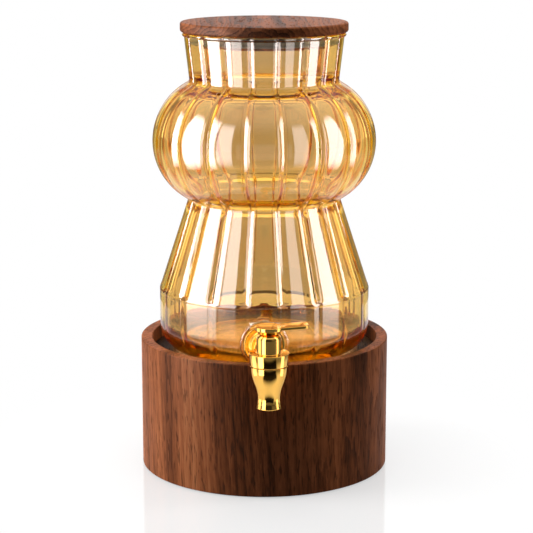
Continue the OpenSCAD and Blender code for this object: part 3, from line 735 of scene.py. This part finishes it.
nozzle_line = [(SOCKET_R, NOZZLE_FLOOR), (SOCKET_R, NOZZLE_TOP)]
nozzle_line += arc(NOZZLE_TOP_R - 0.4, NOZZLE_TOP - 0.4, 0.4, 90, 0, 4)
nozzle_line += [(nozzle_radius(z), z) for z in steps(NOZZLE_LOW + 0.6, NOZZLE_TOP - 0.8, 0.75)[::-1]]
nozzle_line += arc(NOZZLE_LIP_R - 0.6, NOZZLE_LOW + 0.6, 0.6, 0, -90, 5)
nozzle_line += arc(OUTLET_R + 0.6, NOZZLE_LOW + 0.6, 0.6, 270, 180, 5)
nozzle_line += [(OUTLET_R, THROAT_LOW), (PLUG_R - 0.7, NOZZLE_FLOOR), (SOCKET_R, NOZZLE_FLOOR)]
nozzle_mesh = turned("nozzle", nozzle_line, gold, 128, barrel_frame)
gold_pieces.append(finished("nozzle", nozzle_mesh, "vessel", "gold", "tap_nozzle"))

# %% [markdown]
# The lever is a round head with a flat paddle that rises a little as it goes out. The head is turned;
# the paddle is an outline with round corners, given its thickness and a bevel on every edge. It turns a
# quarter with the valve plug, so it rides on its own body.

# %% Lever
HEAD_R, HUB_LOW, HEAD_LOW, HEAD_TOP, HEAD_HUB_R, HEAD_EASE = 10.2, 16.6, 18.8, 21.7, 8.2, 0.6
LEVER_REACH, LEVER_TILT, PADDLE_ROOT = 28.5, 3.0, 2.0
PADDLE_W, PADDLE_T, PADDLE_ROUND, PADDLE_EASE = 13.6, 2.2, 4.2, 0.55
head_line = [(0, HUB_LOW), (HEAD_HUB_R - 0.3, HUB_LOW), (HEAD_HUB_R, HUB_LOW + 0.3)]
head_line += arc(HEAD_R - HEAD_EASE, HEAD_LOW + HEAD_EASE, HEAD_EASE, -70, 0)
head_line += arc(HEAD_R - HEAD_EASE, HEAD_TOP - HEAD_EASE, HEAD_EASE, 0, 90) + [(0, HEAD_TOP)]
head_mesh = turned("head", head_line, gold, 128, barrel_frame)


def paddle():
    """The flat plate of the lever, bevelled all round and tilted up as it goes out."""
    half, far = PADDLE_W / 2 - PADDLE_ROUND, LEVER_REACH - PADDLE_ROUND
    rim = [(PADDLE_ROOT, -PADDLE_W / 2)] + arc(far, -half, PADDLE_ROUND, -90, 0, 10)
    rim += arc(far, half, PADDLE_ROUND, 0, 90, 10) + [(PADDLE_ROOT, PADDLE_W / 2)]
    plate = bmesh.new()
    low = plate.faces.new([plate.verts.new((x * MM, y * MM, 0)) for x, y in rim])
    raised = bmesh.ops.extrude_face_region(plate, geom=[low])["geom"]
    lifted = [item for item in raised if isinstance(item, bmesh.types.BMVert)]
    bmesh.ops.translate(plate, verts=lifted, vec=(0, 0, PADDLE_T * MM))
    bmesh.ops.recalc_face_normals(plate, faces=plate.faces)
    flat = [edge for edge in plate.edges if abs(edge.verts[0].co.z - edge.verts[1].co.z) < 1e-6]
    bmesh.ops.bevel(plate, geom=flat, offset=PADDLE_EASE * MM, segments=4, profile=0.5, affect="EDGES")
    mesh = bpy.data.meshes.new("paddle")
    plate.to_mesh(mesh)
    plate.free()
    mesh.materials.append(gold)
    for face in mesh.polygons:
        face.use_smooth = True
    mesh.set_sharp_from_angle(angle=CREASE)
    drop = HEAD_TOP - PADDLE_T - HEAD_R * math.tan(math.radians(LEVER_TILT))
    mesh.transform(barrel_frame @ Matrix.Translation((0, 0, drop * MM))
                   @ Matrix.Rotation(math.radians(-LEVER_TILT), 4, "Y"))
    return mesh


gold_pieces.append(finished("lever", joined("lever", head_mesh, paddle()), "lever", "gold", "tap_lever"))

# %% [markdown]
# ## The lid
#
# The lid is a thin walnut disc with rounded edges, glued to a plug that drops into the neck. A clear
# silicone ring with two lips sits in a groove of the plug and seals on the glass.

# %% Lid, plug and gasket
# The disc is a hair thinner than its solid, so that it stays inside the solid's box.
LID_R, LID_Z, LID_T, LID_ROUND = 63.1, 334.0, 7.49, 1.8
LID_PLUG_R, LID_PLUG_LOW, GROOVE_R, GROOVE_LOW, GROOVE_HIGH = 52.95, 324.0, 50.95, 326.0, 332.0
GASKET_PLAY, GASKET_R, LOW_LIP_R, HIGH_LIP_R, LIP_T = 0.1, 53.45, 55.7, 56.4, 1.0
lid_line = [(0, LID_Z), (30, LID_Z)] + arc(LID_R - LID_ROUND, LID_Z + LID_ROUND, LID_ROUND, -90, 0, 8)
lid_line += arc(LID_R - LID_ROUND, LID_Z + LID_T - LID_ROUND, LID_ROUND, 0, 90, 8) + [(0, LID_Z + LID_T)]
lid = finished("lid", turned("lid", lid_line, lid_walnut, 256), "lid", "walnut", "lid_disc")

plug_line = [(0, LID_PLUG_LOW), (LID_PLUG_R - EASE, LID_PLUG_LOW)]
plug_line += arc(LID_PLUG_R - EASE, LID_PLUG_LOW + EASE, EASE, -90, 0)
plug_line += [(LID_PLUG_R, GROOVE_LOW), (GROOVE_R, GROOVE_LOW), (GROOVE_R, GROOVE_HIGH),
              (LID_PLUG_R, GROOVE_HIGH), (LID_PLUG_R, LID_Z), (0, LID_Z)]
finished("plug", turned("plug", plug_line, lid_walnut, 192), "lid", "walnut", "lid_plug")

gasket_r, low, high = GROOVE_R + GASKET_PLAY, GROOVE_LOW + GASKET_PLAY, GROOVE_HIGH - GASKET_PLAY
gasket_line = corners([(gasket_r, low), (LOW_LIP_R, low), (LOW_LIP_R, low + LIP_T),
                       (GASKET_R, low + 2 * LIP_T), (GASKET_R, high - 2 * LIP_T),
                       (HIGH_LIP_R, high - LIP_T), (HIGH_LIP_R, high), (gasket_r, high)], 0.35, 4)
gasket = finished("gasket", turned("gasket", gasket_line, silicone, 192), "lid", "silicone", "lid_gasket")

# %% [markdown]
# ## The small solids that stay
#
# The nut, the pin, the screw and the valve inside are right as solids. They keep their own meshes and
# only get finishes.

# %% Finishes of the kept solids
kept = {"shank_nut": steel, "stop_pin": steel, "lever_screw": steel, "valve_plug": steel,
        "plug_o_rings": rubber, "nozzle_seal": rubber, "thrust_washer": slip}
for node, finish in kept.items():
    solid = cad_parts[node].data
    solid.materials.clear()
    solid.materials.append(finish)
print("kept", sorted(kept))

# %% [markdown]
# ## Floor and studio
#
# The photograph was taken on a white sweep between two tall softboxes. The camera sees plain white,
# and the floor keeps the shadow and, close to the object, a soft reflection. Gold and glass also need
# something dark to mirror and to refract, so floor and world look different along other rays: Light
# Path tells them apart. Mirrored rays find a dark room in front, and light straight behind and above.
# Rays through the glass find a greyer floor far behind, a dark line where it begins, a dark gap at each
# side of it, and a bright strip just above the horizon that makes the creases glow.

# %% Floor
FAR_FLOOR, FAR_LINE = (0.576, 0.582), (0.536, 0.542)  # metres from the axis
GAP_START, GAP_END, DARK_FRONT = (2.32, 2.38), (2.60, 2.66), (1.10, 1.30)  # radians from the front
GAP_SHARE = 0.9
WEDGE_TURN = 0.10
FLOOR_BLACK, FLOOR_PALE, FLOOR_WHITE = (0.004, 0.004, 0.004, 1), (0.90, 0.90, 0.90, 1), (0.92, 0.92, 0.92, 1)
WHITE = (1, 1, 1, 1)


def dark_gaps(angle):
    """1 in the dark room in front and in the gap at each side of the background."""
    return angle.fade(*GAP_START) * (1 - angle.fade(*GAP_END)) + 1 - angle.fade(*DARK_FRONT)


def floor_finish():
    material, shader, start = new_material("white_floor")
    coords = start.node("ShaderNodeTexCoord", None, None, "Object")
    cloud = noise(start, coords, (1, 1, 1), 3, 2)
    seen = start.node("ShaderNodeLightPath", None, None, "Is Camera Ray")
    through = seen.out("Is Transmission Ray")
    mirrored = seen.out("Is Glossy Ray") * (1 - through)
    way = start.node("ShaderNodeSeparateXYZ", None, {0: coords})
    around = way.maths("ARCTAN2", way.out("X"), way.out("Y") * -1) - WEDGE_TURN
    around = around.maths("ABSOLUTE", around)
    out = start.node("ShaderNodeVectorMath", {"operation": "LENGTH"}, {0: coords}, 1)
    far = out.fade(*FAR_FLOOR)
    line = out.fade(*FAR_LINE) * (1 - far) * around.fade(2.85, 2.92)
    back = around.fade(2.55, 2.90) * far

    # A wedge in front is dark, except to the camera.
    near = way.out("Y").fade(-0.25, -0.17)
    beyond = (way.out("Y") * -1).fade(0.40, 0.55)
    lit = near.maths("MAXIMUM", near, around.fade(0.85, 0.95))
    lit = lit + around.fade(0.42, 0.55) * (1 - beyond) + beyond * 0.22
    lit = lit.maths("MINIMUM", lit, 1.0) * (1 - seen.out("Is Diffuse Ray") * 0.85)
    lit = lit * (1 - mirrored * out.fade(0.28, 0.45) * (1 - beyond) * 0.75)
    lit = lit * (1 - through * (back * 0.70 + line * 0.95))
    shown = seen.maths("MAXIMUM", seen, lit)
    pale = cloud.fade(0.3, 0.7).mix(FLOOR_PALE, FLOOR_WHITE)
    start.feed(shader.inputs["Base Color"], shown.mix(FLOOR_BLACK, pale))
    shader.inputs["Specular IOR Level"].default_value = 0.0

    # Where it is plain white it takes no shading: for the camera away from the object, and behind the glass.
    clear = 1 - back * (0.51 - out.fade(0.90, 1.10) * 0.11) - line * 0.90
    plain = seen * (0.65 + out.fade(0.10, 0.25) * 0.35)
    plain = plain + through * clear * (1 - dark_gaps(around) * far * GAP_SHARE)
    plain = plain + mirrored * around.fade(2.10, 2.30) * (1 - far) * 0.85
    matt = Wire(start.tree, shader.outputs[0])
    glow = start.node("ShaderNodeEmission", None, {"Color": WHITE, "Strength": 1.0})
    matt = start.node("ShaderNodeMixShader", None, {0: plain, 1: matt, 2: glow})

    # Its gloss ends near the object, because further out it would mirror the studio's dark parts.
    gloss = start.node("ShaderNodeBsdfGlossy", None, {"Color": WHITE, "Roughness": 0.06 + cloud * 0.04})
    share = start.node("ShaderNodeFresnel", None, {"IOR": 1.42}) * (1 - out.fade(0.24, 0.45))
    both = start.node("ShaderNodeMixShader", None, {0: share, 1: matt, 2: gloss})
    start.feed(material.node_tree.nodes["Material Output"].inputs["Surface"], both)
    return material


floor_mesh = bpy.data.meshes.new("floor")
floor_mesh.from_pydata([(-6, -3, 0), (6, -3, 0), (6, 9, 0), (-6, 9, 0)], [], [(0, 1, 2, 3)])
floor_mesh.materials.append(floor_finish())
floor = put_in_scene("floor", floor_mesh)
print("floor laid")

# %% World
def studio_world():
    world = bpy.data.worlds.new("studio")
    world.use_nodes = True
    tree = world.node_tree
    tree.nodes.clear()
    start = Wire(tree)
    ray = start.node("ShaderNodeTexCoord", None, None, "Generated")
    way = start.node("ShaderNodeSeparateXYZ", None, {0: ray})
    around = way.maths("ARCTAN2", way.out("X"), way.out("Y") * -1)
    aside = around.maths("ABSOLUTE", around)
    path = start.node("ShaderNodeLightPath", None, None, "Is Camera Ray")
    through, matt = path.out("Is Transmission Ray"), path.out("Is Diffuse Ray")
    beside = aside.fade(0.40, 0.60)
    behind = aside.fade(2.20, 2.50)
    straight = aside.fade(2.70, 2.95)
    above = way.out("Z").fade(0.35, 0.90)

    # What a mirror, the glass and a matt surface find in each direction
    room = 0.03 + beside * 0.15 + straight * 0.82 + above * 0.80
    wide = aside.fade(1.40, 1.80) * (1 - aside.fade(2.60, 2.85))
    clear = 0.03 + beside * 0.87 + wide * 0.95 - aside.fade(2.80, 3.00) * 0.20 + above * 0.30
    strip = way.out("Z").fade(0.02, 0.08) * (1 - way.out("Z").fade(0.22, 0.30)) * straight
    clear = (clear + strip * 1.1) * (1 - dark_gaps(aside) * GAP_SHARE)
    soft = 0.02 + beside * 0.03 + behind * 0.35 + above * 0.08

    level = matt * soft + (1 - matt) * (through * clear + (1 - through) * room)
    studio = start.node("ShaderNodeBackground", None, {"Color": WHITE, "Strength": level})
    white = start.node("ShaderNodeBackground", None, {"Color": WHITE, "Strength": 1.0})
    both = start.node("ShaderNodeMixShader", None, {0: path, 1: studio, 2: white})
    start.node("ShaderNodeOutputWorld", None, {"Surface": both})
    bpy.context.scene.world = world


studio_world()
print("world made")

# %% [markdown]
# Each softbox lights one kind of surface. The three keys shade all matt surfaces and aren't mirrored.
# The others are only mirrored. Light linking shows the large ones to the glass and the gasket, one of
# them to the drum and the lid as well, and the small gleams to the gold alone, so that each finish gets
# its own highlights without more light on the rest.

# %% Lamps
LAMPS = [  # name, turn from the front in degrees, distance, height of its middle, width, height, watts, kind
    ("key_left", -85, 1.20, 0.60, 0.90, 1.20, 34, "matt"),
    ("key_right", 100, 1.20, 0.55, 0.40, 1.10, 15, "matt"),
    ("key_top", 0, 0.10, 1.25, 0.80, 0.80, 10.0, "matt"),
    ("mirror_left", -69, 0.45, 0.325, 0.34, 0.70, 10.3, "shine"),
    ("mirror_right", 69, 0.45, 0.325, 0.24, 0.70, 5.0, "glass"),
    ("mirror_pale_left", -38, 0.50, 0.335, 0.20, 0.70, 2.8, "glass"),
    ("mirror_pale_right", 34, 0.50, 0.335, 0.18, 0.70, 1.4, "glass"),
    ("mirror_front", 0, 0.90, 0.22, 0.70, 0.50, 0.55, "glass"),
    ("gleam_left", -46, 0.22, 0.20, 0.135, 0.60, 1.0, "gold"),
    ("gleam_side", -93, 0.22, 0.20, 0.13, 0.60, 0.45, "gold"),
    ("gleam_right", 84, 0.22, 0.20, 0.09, 0.60, 0.36, "gold")]
EDGE_SOFT = {"X": 0.40, "Y": 0.80}
receivers = {"gold": gold_pieces, "glass": [vessel, gasket], "shine": [vessel, gasket, drum, lid]}
for kind, pieces in receivers.items():
    group = bpy.data.collections.new("lit_" + kind)
    for piece in pieces:
        group.objects.link(piece)
    receivers[kind] = group


def softbox(name, turn, distance, middle, width, height, watts, kind):
    """A lamp with soft edges, turned round the object, or round the tap if it is for gold."""
    data = bpy.data.lights.new(name, "AREA")
    data.shape, data.size, data.size_y, data.energy = "RECTANGLE", width, height, watts
    data.use_nodes = True
    start = Wire(data.node_tree)
    spot = start.node("ShaderNodeNewGeometry", None, None, "Parametric")
    place = start.node("ShaderNodeSeparateXYZ", None, {0: spot})
    edge_x, edge_y = [(place.out(axis) * (1 - place.out(axis)) * 4).fade(0.0, EDGE_SOFT[axis])
                      for axis in EDGE_SOFT]
    glow = (edge_x * edge_y).mix((0, 0, 0, 1), WHITE)
    start.feed(data.node_tree.nodes["Emission"].inputs["Color"], glow)
    lamp = bpy.data.objects.new(name, data)
    angle = math.radians(turn)
    front = barrel_frame.translation.y if kind == "gold" else 0.0
    lamp.location = (distance * math.sin(angle), front - distance * math.cos(angle), middle)
    lamp.rotation_euler = (math.radians(0 if middle > 1 else 90), 0, angle)
    lamp.visible_camera = lamp.visible_transmission = False
    lamp.visible_glossy, lamp.visible_diffuse = kind != "matt", kind == "matt"
    if kind != "matt":
        lamp.light_linking.receiver_collection = receivers[kind]
    bpy.context.scene.collection.objects.link(lamp)


for lamp in LAMPS:
    softbox(*lamp)
bpy.context.scene.view_settings.view_transform = "Standard"
bpy.context.scene.cycles.max_bounces = 24
bpy.context.scene.cycles.glossy_bounces = 16
bpy.context.scene.cycles.transmission_bounces = 20
print("studio lit")
